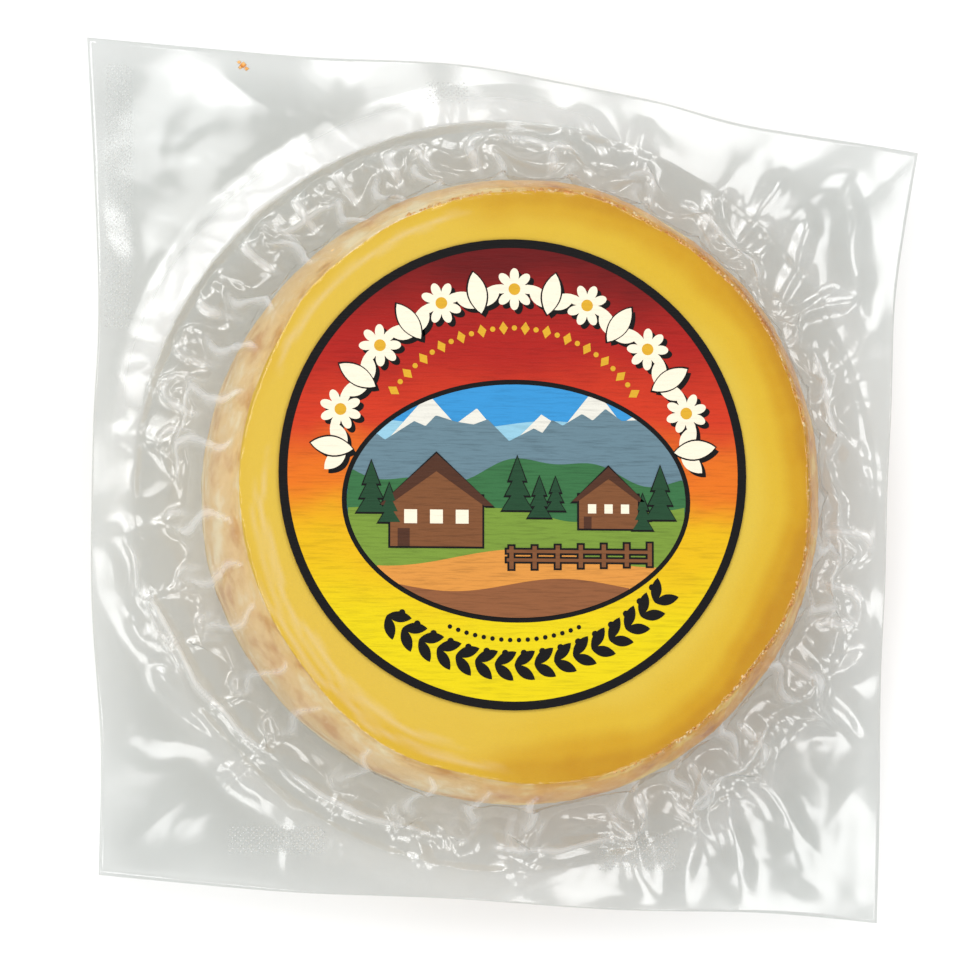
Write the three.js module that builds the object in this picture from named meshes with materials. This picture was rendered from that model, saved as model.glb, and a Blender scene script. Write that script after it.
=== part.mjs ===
// A half wheel of washed-rind alpine cheese, cut face up, sealed in a clear vacuum bag, with a round paper
// label stuck on the film over the cut face. The bag is shut, so the bag and the cheese in it are one solid:
// the film drawn down over the wheel, the slope where it leaves the wall in pleats, and the flat double
// film that stands out round the wheel. Millimetres, +Z up. The origin is the middle of the wheel's base.
import * as THREE from 'three';

const { clamp, degToRad, lerp, smoothstep } = THREE.MathUtils;

// The half wheel in its film
const PACK_HEIGHT = 38.3;
const BELLY_RADIUS = 58.8;
const FOOT_RADIUS = 58.4;
const CUT_RADIUS = 54.4;
const CUT_EDGE_ROUND = 3;
const BASE_EDGE_ROUND = 8;
const CUT_EDGE_FLARE = 0.6; // how much wider the wall is where the rounding of the cut edge starts
const CUT_EDGE_HEIGHT = PACK_HEIGHT - CUT_EDGE_ROUND;
const CUT_OUT_OF_ROUND = 0.018; // the cut face is this share longer than its mean along Y, and shorter along X
const OUT_OF_ROUND_START = 16; // height where the wall starts to go out of round

// The slope of pleated film between the wall and the flat flange
const UPPER_LIFT_OFF = 25; // height where the upper film leaves the wall
const LOWER_LIFT_OFF = 9.5;
const SLOPE_WIDTH = 11.5;
const SLOPE_SHARE_OF_ROOM = 0.5; // where the flange is narrow, the slope takes this share of it
const SLOPE_SAG = 1.9; // how hollow the slope hangs, as a power

// The flange of two films sealed together
const FLANGE_HEIGHT = 14;
const FLANGE_THICKNESS = 0.6;
const CORNER_DROOP = 4.5;
const DROOP_START = BELLY_RADIUS + SLOPE_WIDTH;
const CORNER_REACH = 112; // distance from the axis at which the droop is full
const FLANGE_WAVES = [
  { count: 3, turn: 0.4, height: 1.3 },
  { count: 7, turn: 2.1, height: 1.0 },
  { count: 13, turn: 4.4, height: 0.6 },
];

// Each pleat's direction round the wheel, in degrees from +X towards +Y
const PLEAT_DIRECTIONS = [
  -1, 11, 21, 32, 44, 55, 67, 80, 93, 106, 114, 122, 133, 145, 154, 163, 172,
  186, 196, 205, 216, 226, 240, 252, 262, 272, 290, 300, 311, 325, 340, 350,
];
const PLEAT_HEIGHT = 2.8;
const PLEAT_HALF_WIDTH = 3.4;
const PLEAT_SHARPNESS = 1.3; // as a power: 1 is a straight-sided tent
const PLEAT_UNEVENNESS = 0.35; // share by which pleats differ in height and width
const PLEAT_RISE = 0.5; // share of the slope over which the pleats grow out of the wall
const PLEAT_RUN_OUT = 0.75; // share of the flange over which they fade
const LOWER_PLEAT_SHARE = 0.4;
const UNEVEN_STEP = 12.9; // turns the sine far enough from one pleat to the next to look random
const UNEVEN_START = 4.1;

// The label
const LABEL_RADIUS = 43.5;
const LABEL_THICKNESS = 0.3;
const LABEL_CENTRE = new THREE.Vector2(-2.8, 2.1);
const LABEL_GAP = 0.1;
const LABEL_SIDES = 96;

// Corners of the bag, seen from above, and the points between them that give its wavy sides
const BAG_SIDES = [
  [[69, -81.3], [69.8, -43], [69.9, -12], [71, 14], [72.8, 40.7], [77.3, 64.8]],
  [[77.3, 64.8], [49, 71.3], [26.2, 77.5], [-4.2, 82.3], [-42.2, 84.2], [-80.8, 86.8]],
  [[-80.8, 86.8], [-79.4, 62], [-78.4, 33], [-79.2, 10], [-79.2, -20], [-77.2, -48], [-77.3, -72]],
  [[-77.3, -72], [-42.2, -75.1], [-11.8, -76.4], [18.6, -78.7], [49, -79.4], [69, -81.3]],
];

// How finely the solid is faceted
const SPOKES_PER_SIDE = 44;
const UPPER_SLOPE_ROWS = 6;
const LOWER_SLOPE_ROWS = 3;
const FLANGE_SHARES = [0.12, 0.32, 0.6, 1];
const ROUND_ROWS = 3;

// Points of the bag's edge, one for each spoke, anticlockwise seen from above.
function edgePoints() {
  const points = [];
  for (const side of BAG_SIDES) {
    const curve = new THREE.SplineCurve(side.map(([x, y]) => new THREE.Vector2(x, y)));
    points.push(...curve.getSpacedPoints(SPOKES_PER_SIDE).slice(0, -1));
  }
  return points;
}

// Stations of the wheel round an arc of its section, between two angles in degrees.
function arcStations(centreRadius, centreHeight, round, from, to) {
  const stations = [];
  for (let i = 0; i <= ROUND_ROWS; i++) {
    const angle = degToRad(lerp(from, to, i / ROUND_ROWS));
    const radius = centreRadius + round * Math.cos(angle);
    const height = centreHeight + round * Math.sin(angle);
    stations.push({ zone: 'wheel', radius, height });
  }
  return stations;
}

// Stations of one film, from the wall out to the bag's edge. A share runs from 0 to 1 across each zone.
function filmStations(film, slopeRows) {
  const stations = [];
  for (let i = 0; i <= slopeRows; i++) {
    stations.push({ zone: 'slope', film, share: i / slopeRows });
  }
  FLANGE_SHARES.forEach((share) => stations.push({ zone: 'flange', film, share }));
  return stations;
}

// The section of the pack, from the middle of its base, out round the flange, to the middle of its top.
function packStations() {
  const wallHead = CUT_RADIUS + CUT_EDGE_FLARE;
  const middleOfWall = {
    zone: 'wheel',
    radius: (BELLY_RADIUS + wallHead) / 2,
    height: (UPPER_LIFT_OFF + CUT_EDGE_HEIGHT) / 2,
  };
  return [
    { zone: 'wheel', radius: 0, height: 0 },
    ...arcStations(FOOT_RADIUS - BASE_EDGE_ROUND, BASE_EDGE_ROUND, BASE_EDGE_ROUND, -90, 0),
    ...filmStations('lower', LOWER_SLOPE_ROWS).slice(1),
    ...filmStations('upper', UPPER_SLOPE_ROWS).reverse(),
    middleOfWall,
    ...arcStations(CUT_RADIUS - CUT_EDGE_ROUND, CUT_EDGE_HEIGHT, CUT_EDGE_ROUND, 0, 90),
    { zone: 'wheel', radius: 0, height: PACK_HEIGHT },
  ];
}

// A repeatable uneven share from -1 to 1 for the nth pleat.
function unevenShare(n) {
  return Math.sin(n * UNEVEN_STEP + UNEVEN_START);
}

// How far the pleats stand up at a direction, at a distance from the axis. Each is a tent-shaped ridge.
function pleatRelief(direction, distance) {
  const reliefs = PLEAT_DIRECTIONS.map((degrees, n) => {
    const turn = direction - degToRad(degrees);
    const across = distance * Math.atan2(Math.sin(turn), Math.cos(turn));
    const height = PLEAT_HEIGHT * (1 + PLEAT_UNEVENNESS * unevenShare(n));
    const halfWidth = PLEAT_HALF_WIDTH * (1 + PLEAT_UNEVENNESS * unevenShare(n + 0.5));
    return height * (1 - clamp(Math.abs(across) / halfWidth, 0, 1)) ** PLEAT_SHARPNESS;
  });
  return Math.max(...reliefs);
}

// Height of the flange's middle plane: level at the wheel, waving and drooping towards the corners.
function flangeHeight(direction, distance, share) {
  const droop = CORNER_DROOP * smoothstep(distance, DROOP_START, CORNER_REACH);
  const waves = FLANGE_WAVES.map((wave) => wave.height * Math.sin(wave.count * direction + wave.turn));
  return FLANGE_HEIGHT - droop + share * waves.reduce((sum, wave) => sum + wave);
}

// Radius and height of a station on the wheel itself.
function wheelSection(station, direction) {
  const towardsCut = smoothstep(station.height, OUT_OF_ROUND_START, CUT_EDGE_HEIGHT);
  const radius = station.radius * (1 - towardsCut * CUT_OUT_OF_ROUND * Math.cos(2 * direction));
  return { radius, height: station.height };
}

// Radius and height of a station on the slope, which sags from the wall to the flange. The upper film's
// pleats stand up. The lower film's hang down, and rise to meet the upper film's at the flange.
function slopeSection(station, direction, reach) {
  const upper = station.film === 'upper';
  const width = Math.min(SLOPE_WIDTH, SLOPE_SHARE_OF_ROOM * (reach - BELLY_RADIUS));
  const radius = BELLY_RADIUS + width * station.share;
  const foot = flangeHeight(direction, radius, 0) + (upper ? 0.5 : -0.5) * FLANGE_THICKNESS;
  const sag = lerp(foot, upper ? UPPER_LIFT_OFF : LOWER_LIFT_OFF, (1 - station.share) ** SLOPE_SAG);
  const rise = Math.sin((Math.PI / 2) * Math.min(station.share / PLEAT_RISE, 1));
  const way = upper ? 1 : lerp(-LOWER_PLEAT_SHARE, 1, station.share);
  return { radius, height: sag + way * rise * pleatRelief(direction, radius) };
}

// Radius and height of a station on the flange, where both films rise together in the ends of the pleats.
function flangeSection(station, direction, reach) {
  const ring = BELLY_RADIUS + Math.min(SLOPE_WIDTH, SLOPE_SHARE_OF_ROOM * (reach - BELLY_RADIUS));
  const radius = lerp(ring, reach, station.share);
  const side = station.film === 'upper' ? 0.5 : -0.5;
  const fade = (1 - clamp(station.share / PLEAT_RUN_OUT, 0, 1)) ** 2;
  const height = flangeHeight(direction, radius, station.share) + side * FLANGE_THICKNESS;
  return { radius, height: height + fade * pleatRelief(direction, radius) };
}

const SECTIONS = { wheel: wheelSection, slope: slopeSection, flange: flangeSection };

// The sealed bag with the half wheel in it, as one solid: a lathe's closed net of faces, each point set by
// its station in the section and its spoke.
function vacuumPack() {
  const stations = packStations();
  const edges = edgePoints();
  const profile = stations.map((_, row) => new THREE.Vector2(1, row));
  const geometry = new THREE.LatheGeometry(profile, edges.length);
  const position = geometry.attributes.position;
  for (let spoke = 0; spoke <= edges.length; spoke++) {
    const edge = edges[spoke % edges.length];
    const direction = Math.atan2(edge.y, edge.x);
    stations.forEach((station, row) => {
      const { radius, height } = SECTIONS[station.zone](station, direction, edge.length());
      const vertex = spoke * stations.length + row;
      position.setXYZ(vertex, radius * Math.cos(direction), radius * Math.sin(direction), height);
    });
  }
  const film = new THREE.MeshStandardMaterial({ color: 0xd9c27a, roughness: 0.15, metalness: 0 });
  const mesh = new THREE.Mesh(geometry, film);
  mesh.name = 'vacuum_pack';
  return mesh;
}

// The round paper label, a thin disc lying on the film over the cut face.
function label() {
  const geometry = new THREE.CylinderGeometry(LABEL_RADIUS, LABEL_RADIUS, LABEL_THICKNESS, LABEL_SIDES);
  geometry.rotateX(Math.PI / 2);
  const paper = new THREE.MeshStandardMaterial({ color: 0xd9481c, roughness: 0.45, metalness: 0 });
  const mesh = new THREE.Mesh(geometry, paper);
  mesh.name = 'label';
  mesh.position.set(LABEL_CENTRE.x, LABEL_CENTRE.y, PACK_HEIGHT + LABEL_GAP + LABEL_THICKNESS / 2);
  return mesh;
}

const pack = new THREE.Group();
pack.add(vacuumPack(), label());

export default pack;
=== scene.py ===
"""A half wheel of washed-rind cheese, cut face up, vacuum packed in clear film with a round printed label."""

import bpy
import numpy as np
from mathutils import Matrix, Vector


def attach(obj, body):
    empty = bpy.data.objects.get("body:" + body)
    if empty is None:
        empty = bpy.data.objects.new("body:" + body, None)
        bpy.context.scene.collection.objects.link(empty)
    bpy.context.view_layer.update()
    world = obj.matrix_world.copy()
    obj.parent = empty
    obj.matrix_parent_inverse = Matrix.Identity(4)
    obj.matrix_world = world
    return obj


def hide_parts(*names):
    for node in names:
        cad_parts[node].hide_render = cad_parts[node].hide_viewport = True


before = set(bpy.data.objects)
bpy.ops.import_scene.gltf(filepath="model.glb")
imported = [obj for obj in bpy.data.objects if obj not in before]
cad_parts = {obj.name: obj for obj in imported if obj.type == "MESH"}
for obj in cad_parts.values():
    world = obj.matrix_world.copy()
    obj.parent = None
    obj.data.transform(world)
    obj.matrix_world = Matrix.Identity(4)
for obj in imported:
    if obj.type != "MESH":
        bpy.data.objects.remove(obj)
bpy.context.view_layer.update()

MM = 0.001

# The half wheel, in millimetres, as in the part's source
PACK_HEIGHT = 38.3
BELLY_RADIUS = 58.8
FOOT_RADIUS = 58.4
CUT_RADIUS = 54.4
CUT_EDGE_ROUND = 3.0
CUT_EDGE_HEIGHT = PACK_HEIGHT - CUT_EDGE_ROUND
BASE_EDGE_ROUND = 8.0
CUT_OUT_OF_ROUND = 0.018
CUT_UNEVENNESS = ((7, 1.0, 0.005), (11, 2.4, 0.003), (17, 0.6, 0.0015))  # waves of the cut outline
OUT_OF_ROUND_START = 16.0
FILM_GAP = 0.15
FILM_EDGE_RADIUS = 54.6
FILM_EDGE_ROUND = 1.3
FILM_EDGE_HEIGHT = PACK_HEIGHT - FILM_EDGE_ROUND
EDGE_GATHER = 0.4  # how far the film stands off the cut edge

# The slope of film round the wheel and the flange, as in the part's source
UPPER_LIFT_OFF = 25.0
LOWER_LIFT_OFF = 9.5
SLOPE_WIDTH = 11.5
SLOPE_SHARE_OF_ROOM = 0.5
SLOPE_SAG = 1.9
UPPER_SAG = 6.0  # the upper film is drawn in harder than the solid that it replaces
FLANGE_HEIGHT = 14.0
FLANGE_THICKNESS = 0.6
CORNER_DROOP = 4.5
CORNER_REACH = 112.0
FLANGE_WAVES = ((3, 0.4, 1.3), (7, 2.1, 1.0), (13, 4.4, 0.6))
PLEAT_DIRECTIONS = (
    -1, 11, 21, 32, 44, 55, 67, 80, 93, 106, 114, 122, 133, 145, 154, 163, 172,
    186, 196, 205, 216, 226, 240, 252, 262, 272, 290, 300, 311, 325, 340, 350,
)
PLEAT_HEIGHT = 2.8
PLEAT_HALF_WIDTH = 3.4
PLEAT_SHARPNESS = 2.0
PLEAT_UNEVENNESS = 0.35
PLEAT_RISE = 0.5
PLEAT_RUN_OUT = 0.75
UNEVEN_STEP = 12.9
UNEVEN_START = 4.1
BAG_SIDES = (
    ((72.2, -81.8), (72.9, -43), (73.0, -12), (74.2, 14), (76.2, 40.7), (81.0, 68.0)),
    ((81.0, 68.0), (49, 72.2), (26.2, 77.5), (-4.2, 82.3), (-42.2, 84.2), (-80.8, 86.8)),
    ((-80.8, 86.8), (-79.4, 62), (-78.4, 33), (-79.2, 10), (-79.2, -20), (-77.2, -48), (-77.3, -72)),
    ((-77.3, -72), (-42.2, -75.1), (-11.8, -76.4), (18.6, -78.7), (49, -79.6), (72.2, -81.8)),
)

# The ring pressed into the flange round the wheel, and its height by direction in degrees
RING_RADIUS = 71.5
RING_HEIGHT = 2.3
RING_INNER_WIDTH = 1.3
RING_OUTER_WIDTH = 8.0
RING_SHARPNESS = 1.25  # as a power: 1 is a straight-sided tent
RING_GROWTH = 0.05  # share of the flange over which the ring grows
RING_DIRECTIONS = (0, 40, 70, 100, 115, 150, 168, 190, 225, 270, 320)
RING_SHARES = (0.1, 0.15, 0.25, 0.7, 1.0, 1.0, 0.35, 0.04, 0.2, 0.2, 0.15)

# Creases of the film outside the wheel, from end to end, with their half width and height
CREASES = (
    ((-79, -9.7), (-70.7, -27.2), 1.8, 0.9), ((-72, -24), (-62, -33), 1.6, 1.6),
    ((-66, -34), (-56, -46), 1.3, 1.4), ((-72, -44), (-52, -50), 2.2, 0.9),
    ((-54, -52), (-40, -62), 1.5, 1.5), ((-41, -66), (-42.5, -75), 1.4, 1.0),
    ((-34, -66), (-35, -75.5), 1.2, 0.9), ((-22, -56), (-17, -71), 1.4, 1.8),
    ((-15, -58), (-6, -68), 1.3, 1.6), ((-12, -56), (-13, -68), 1.0, 1.5),
    ((6, -58), (-1, -72), 1.5, 1.6), ((22, -62), (26, -79), 2.0, 1.2),
    ((36, -52), (33, -79), 1.6, 1.3), ((40, -50), (46, -79), 1.9, 1.5),
    ((49, -46), (58, -76), 2.2, 1.2), ((52, -40), (70, -30), 1.7, 1.7),
    ((55, -30), (70, -44), 1.5, 1.3), ((59, -12), (64, -34), 1.4, 1.5),
    ((60, 8.4), (65, -8), 1.3, 1.6), ((59, 16), (70, 6), 1.4, 1.5),
    ((66, 22), (70, -2), 1.6, 1.0), ((54, 34), (69, 40), 1.6, 1.6),
    ((52, 38), (59, 54), 1.4, 1.7), ((66, 62), (69, 34), 2.2, 1.3),
    ((47, 38.8), (38, 58), 1.3, 1.6), ((42, 46), (53, 62), 1.6, 1.3),
    ((24, 57), (15, 74), 1.3, 1.6), ((22, 58), (27, 73), 1.2, 1.5),
    ((12, 62), (-16, 66), 1.6, 1.5), ((-4, 59), (-30, 62), 1.3, 1.2),
    ((-72, 30), (-73, 84), 1.0, 0.5),
    ((-70, 76), (-66, 68), 2.0, 0.9), ((-62, 78), (-56, 71), 2.2, 0.9),
    ((-52, 72), (-44, 68), 2.0, 0.8), ((-69, 62), (-60, 58), 2.4, 0.9),
    ((-70, 50), (-63, 56), 1.8, 0.7),
)

# Creases that run round the wheel: their radius at the start and at the end, from and to in degrees, and
# their half width and height
RING_CREASES = (
    (71.5, 67.0, 190, 232, 1.0, 1.1), (67.5, 66.0, 228, 262, 1.0, 0.9), (73.5, 70.5, 184, 214, 0.8, 0.7),
    (66.0, 69.0, 265, 292, 1.1, 0.9), (68.0, 66.5, 296, 322, 1.2, 0.9), (66.5, 69.0, 76, 98, 1.0, 1.0),
    (64.0, 66.0, 38, 62, 1.0, 1.2), (63.5, 66.0, 8, 28, 1.0, 1.0), (64.5, 63.0, 336, 356, 1.0, 1.0),
    (63.0, 65.0, 118, 134, 1.0, 0.9), (64.0, 62.5, 158, 182, 0.9, 0.8),
    (49.0, 49.8, 162, 268, 0.6, 0.25), (50.9, 50.6, 170, 250, 0.5, 0.2),
    (52.0, 51.2, 96, 166, 0.5, 0.25), (52.5, 51.9, 192, 276, 0.45, 0.25),
)

# Hollows between the pleats, where the film is drawn in to the wheel
HOLLOW_WIDTH_SHARE = 0.4
HOLLOW_DROP = 5.0
HOLLOW_SHARPNESS = 1.1  # as a power: the smaller, the sharper the pleats between the hollows
HOLLOW_FULL_SPAN = 11.0  # width of a cell whose hollow is full, in millimetres
PLEAT_REACH_UNEVENNESS = 0.28
PLEAT_LIFT = 6.0  # how much higher a taut pleat leaves the wall
PLEAT_SAG = 3.2
TAUT_HALF_WIDTH = 1.3
DOME_HEIGHT = 2.4  # how far the slope bulges up in some of the cells between two pleats
DRAPE_DIRECTION = 222  # at this side, in degrees, the film hangs from higher up the wall, and less hollow
DRAPE_SPREAD = (0.2, 0.9)  # cosines of how far to either side the drape ends, and is full
DRAPE_LIFT = 5.0
DRAPE_SAG = 2.6
PLEAT_BEND = 0.02  # how far a pleat swings to either side on its way out, in radians

# Loops: gathered film that stands in a rounded finger on each pleat, with a thin ridge along its outline
LOOP_START = 55.5
LOOP_LENGTH = 9.5
LOOP_HALF_WIDTH = 2.6
LOOP_RIDGE = 0.45
LOOP_RIDGE_WIDTH = 0.7
LOOP_HEIGHT = 1.0
LOOP_FOOT = 0.8  # how far out from its outline a loop's flank ends
LOOP_SLANT = 0.2
LOOP_UNEVENNESS = 0.3
# painted highlight: between these directions the loops' whole outlines are white
WHOLE_LOOPS = (200, 310)  # between these directions, in degrees, a loop's whole outline is white
CREASE_LINE = 0.75  # half width of the white line along a crease

# Broad folds with flat sides, and soft swells. How strong they are on the flange, by direction in degrees
FOLDS = ((26.0, 1.7), (11.0, 0.35))  # size and height
FOLD_LEVEL = 0.75  # the part of a fold's height that lies below the smooth film
SWELLS = ((34.0, 1.3), (15.0, 0.25))
FOLD_DIRECTIONS = (0, 25, 45, 60, 95, 115, 135, 160, 185, 205, 235, 255, 285, 310, 335)
FOLD_SHARES = (0.8, 0.7, 0.35, 0.3, 0.3, 0.6, 0.6, 0.35, 0.08, 0.08, 0.1, 0.6, 0.6, 0.4, 0.8)

# Crumples round the wheel's foot: size of a patch, height, and the share of it that stays far out
CRUMPLES = ((9.0, 0.35, 0.15),)
LATTICE = 64

# How milky the film is, as the share of it that is white, and its shine, as the share that mirrors when it
# is seen straight on. The white on the creases is partly crease whitening and partly painted highlight, and
# the white band on the ring is painted highlight
MILK = 0.07
MILK_ON_WALL = 0.06
# painted highlight: how white the band on the outer side of the ring is
PAINTED_RING_HIGHLIGHT = 0.45
MILK_BELOW = 0.06
# white along the creases and loops: partly crease whitening, partly painted highlight
CREASE_WHITENING_AND_HIGHLIGHT = 0.45
SHINE = 0.09
SHINE_ON_WHEEL = 0.03
SHINE_BELOW = 0.02

# How finely the film is modelled
FLANGE_SPACING = 1.5  # as a power: the rows of the flange are closer together near the wheel
SPOKES_PER_SIDE = 172
FILM_ROWS = 110
TOP_SHARES = (0.0, 0.25, 0.5, 0.75, 0.92)  # rows in the middle of the cut face, as shares of the next radius
LOWER_SLOPE_ROWS = 8
FOOT_ROWS = 6
LOWER_SKIP = 4  # the lower film of the flange has one row for this many of the upper film's
LOWER_PLEAT_SHARE = 0.2


def smoothstep(value, low, high):
    """0 at low, 1 at high, and an S curve between them."""
    share = np.clip((value - low) / (high - low), 0.0, 1.0)
    return share * share * (3 - 2 * share)


def srgb(red, green, blue):
    """A colour given as 0 to 255 on a screen, as the linear colour that a shader takes."""
    screen = np.array((red, green, blue)) / 255
    linear = np.where(screen <= 0.04045, screen / 12.92, ((screen + 0.055) / 1.055) ** 2.4)
    return (*linear.tolist(), 1.0)


# Meshes

def mesh_piece(name, points, faces, material, smooth=True):
    """A mesh object of points in millimetres and faces, riding on the body."""
    mesh = bpy.data.meshes.new(name)
    mesh.from_pydata((np.asarray(points) * MM).tolist(), [], faces)
    mesh.validate()
    mesh.shade_smooth() if smooth else mesh.shade_flat()
    mesh.materials.append(material)
    piece = bpy.data.objects.new(name, mesh)
    bpy.context.scene.collection.objects.link(piece)
    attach(piece, "root")
    return piece


def net_faces(rows, columns):
    """Quads between neighbouring rows of a net that closes on itself across its columns."""
    first = np.arange(rows - 1)[:, None] * columns
    here = first + np.arange(columns)
    beside = first + (np.arange(columns) + 1) % columns
    return np.stack([here, here + columns, beside + columns, beside], axis=-1).reshape(-1, 4)


def closed_net(name, points, material):
    """A closed surface from a net whose rows run from the middle of the top to the middle of the base.

    The first and the last row are drawn together into one point each, and fans of triangles close them."""
    rows, columns = points.shape[:2]
    inner = points[1:-1].reshape(-1, 3)
    top = points[0].mean(axis=0)
    base = points[-1].mean(axis=0)
    vertices = np.vstack([inner, top, base])
    top_index = len(inner)
    last_row = (rows - 3) * columns
    here = np.arange(columns)
    beside = (here + 1) % columns
    top_fan = [(top_index, a, b) for a, b in zip(here.tolist(), beside.tolist())]
    base_fan = [(top_index + 1, last_row + b, last_row + a) for a, b in zip(here.tolist(), beside.tolist())]
    faces = net_faces(rows - 2, columns).tolist() + top_fan + base_fan
    return mesh_piece(name, vertices, faces, material)


def store(piece, name, net):
    """Keeps a value for each point of a closed net as an attribute of its mesh."""
    values = np.r_[net[1:-1].ravel(), net[0].mean(), net[-1].mean()]
    attribute = piece.data.attributes.new(name, "FLOAT", "POINT")
    attribute.data.foreach_set("value", values.astype(np.float32))


# The bag's film

def catmull_rom(points, samples):
    """Points along a smooth curve through the given points: each span is the cubic whose end slopes are half
    the chord between the neighbours. The first and the last point stand in for their missing neighbours."""
    points = np.array(points, float)
    padded = np.vstack([points[0], points, points[-1]])
    place = np.linspace(0, len(points) - 1, samples)
    span = np.minimum(place.astype(int), len(points) - 2)
    t = (place - span)[:, None]
    before, start, end, after = (padded[span + k] for k in range(4))
    leave = (end - before) / 2
    arrive = (after - start) / 2
    return (
        (2 * t**3 - 3 * t**2 + 1) * start + (t**3 - 2 * t**2 + t) * leave
        + (3 * t**2 - 2 * t**3) * end + (t**3 - t**2) * arrive
    )


def bag_edge(spokes_per_side):
    """Points of the bag's edge, anticlockwise, at even steps along each side."""
    edge = []
    for side in BAG_SIDES:
        fine = catmull_rom(side, 400)
        steps = np.r_[0, np.cumsum(np.hypot(*np.diff(fine, axis=0).T))]
        wanted = np.linspace(0, steps[-1], spokes_per_side + 1)[:-1]
        edge.append(np.stack([np.interp(wanted, steps, fine[:, axis]) for axis in (0, 1)], axis=1))
    return np.vstack(edge)


def out_of_round(direction):
    """By what share the cut's outline lies inside its mean circle: long along Y, and a little wavy."""
    waves = sum(share * np.sin(count * direction + turn) for count, turn, share in CUT_UNEVENNESS)
    return CUT_OUT_OF_ROUND * np.cos(2 * direction) + waves


def ring_share(direction):
    """How strong the ring is at a direction, from 0 to 1."""
    return np.interp(np.degrees(direction), RING_DIRECTIONS, RING_SHARES, period=360)


def flange_height(direction, distance, share):
    """Height of the flange's middle plane: level at the wheel, then waving and drooping to the corners, with
    the ring pressed into it."""
    droop = CORNER_DROOP * smoothstep(distance, BELLY_RADIUS + SLOPE_WIDTH, CORNER_REACH)
    waves = sum(height * np.sin(count * direction + turn) for count, turn, height in FLANGE_WAVES)
    away = distance - RING_RADIUS
    width = np.where(away < 0, RING_INNER_WIDTH, RING_OUTER_WIDTH)
    flank = np.clip(1 - np.abs(away) / width, 0, 1) ** RING_SHARPNESS
    ring = RING_HEIGHT * ring_share(direction) * flank * smoothstep(share, 0.0, RING_GROWTH)
    return FLANGE_HEIGHT - droop + waves * share + ring


def pleat_relief(direction, distance):
    """How far the pleats stand up: the highest of a set of tent-shaped ridges that run out from the wheel."""
    degrees = np.array(PLEAT_DIRECTIONS)
    n = np.arange(len(degrees))
    heights = PLEAT_HEIGHT * (1 + PLEAT_UNEVENNESS * np.sin(n * UNEVEN_STEP + UNEVEN_START))
    widths = PLEAT_HALF_WIDTH * (1 + PLEAT_UNEVENNESS * np.sin((n + 0.5) * UNEVEN_STEP + UNEVEN_START))
    turn = direction[..., None] - np.radians(degrees)
    across = distance[..., None] * np.arctan2(np.sin(turn), np.cos(turn))
    return (heights * (1 - np.clip(np.abs(across) / widths, 0, 1)) ** PLEAT_SHARPNESS).max(axis=-1)


def to_points(direction, radius, height):
    """Points from a direction, a radius and a height."""
    return np.stack([radius * np.cos(direction), radius * np.sin(direction), height + 0 * radius], axis=-1)


def wrapped(net):
    """The net with its first column again after its last."""
    return np.concatenate([net, net[:, :1]], axis=1)


def finer(net, rows, columns):
    """The net's values at more rows and columns, by straight lines between its own."""
    closed = wrapped(net)
    row = np.linspace(0, closed.shape[0] - 1, rows)
    low = np.minimum(row.astype(int), closed.shape[0] - 2)
    share = (row - low).reshape(-1, *[1] * (net.ndim - 1))
    closed = closed[low] * (1 - share) + closed[low + 1] * share
    column = np.arange(columns) * net.shape[1] / columns
    low = column.astype(int)
    share = (column - low).reshape(1, -1, *[1] * (net.ndim - 2))
    return closed[:, low] * (1 - share) + closed[:, low + 1] * share


def blurred_noise(rng, rows, columns, coarse):
    """Even random values from -1 to 1 on a coarse net, drawn out to rows by columns."""
    return finer(rng.uniform(-1, 1, (coarse[0], coarse[1])), rows, columns)


def pleat_cells(direction):
    """Which two pleats a direction lies between: its share of the way from the one to the other, the width of
    that cell on the wheel, the unevenness of the two pleats blended by the share, and the cell's own."""
    degrees = np.array(PLEAT_DIRECTIONS) % 360
    order = np.argsort(degrees)
    degrees = degrees[order]
    uneven = np.sin(order * UNEVEN_STEP + UNEVEN_START)
    here = np.degrees(direction) % 360
    after = np.searchsorted(degrees, here) % len(degrees)
    before = after - 1
    span = (degrees[after] - degrees[before]) % 360
    share = ((here - degrees[before]) % 360) / span
    own = np.sin(before * UNEVEN_STEP)
    return share, np.radians(span) * BELLY_RADIUS, uneven[before] * (1 - share) + uneven[after] * share, own


# Where each zone of the upper film ends, as a share of the rows from the face out to the bag's edge
FACE_END = 0.07
ROUND_END = 0.12
WALL_END = 0.24
SLOPE_END = 0.54
FACE_START_RADIUS = 47.0


def film_zones(rows, direction):
    """How far along each zone of the upper film each row is, from 0 to 1: the face, the rounded cut edge, the
    wall, the slope and the flange."""
    ends = (0.0, FACE_END, ROUND_END, WALL_END, SLOPE_END, 1.0)
    place = np.linspace(0, 1, rows)[:, None] + 0 * direction
    return [np.clip((place - start) / (end - start), 0, 1) for start, end in zip(ends, ends[1:])]


def slope_width(direction, reach, uneven, hollow):
    """Width of the slope from the wall to the flange: less where the bag's edge is near, uneven from pleat to
    pleat, narrow in the hollows, and ending inside the ring where that is strong."""
    width = np.minimum(SLOPE_WIDTH, SLOPE_SHARE_OF_ROOM * (reach - BELLY_RADIUS))
    width = width * (1 + PLEAT_REACH_UNEVENNESS * uneven) * (1 - HOLLOW_WIDTH_SHARE * hollow)
    inside_ring = RING_RADIUS - RING_INNER_WIDTH - BELLY_RADIUS
    return width + smoothstep(ring_share(direction), 0.2, 0.5) * (np.minimum(width, inside_ring) - width)


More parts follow.
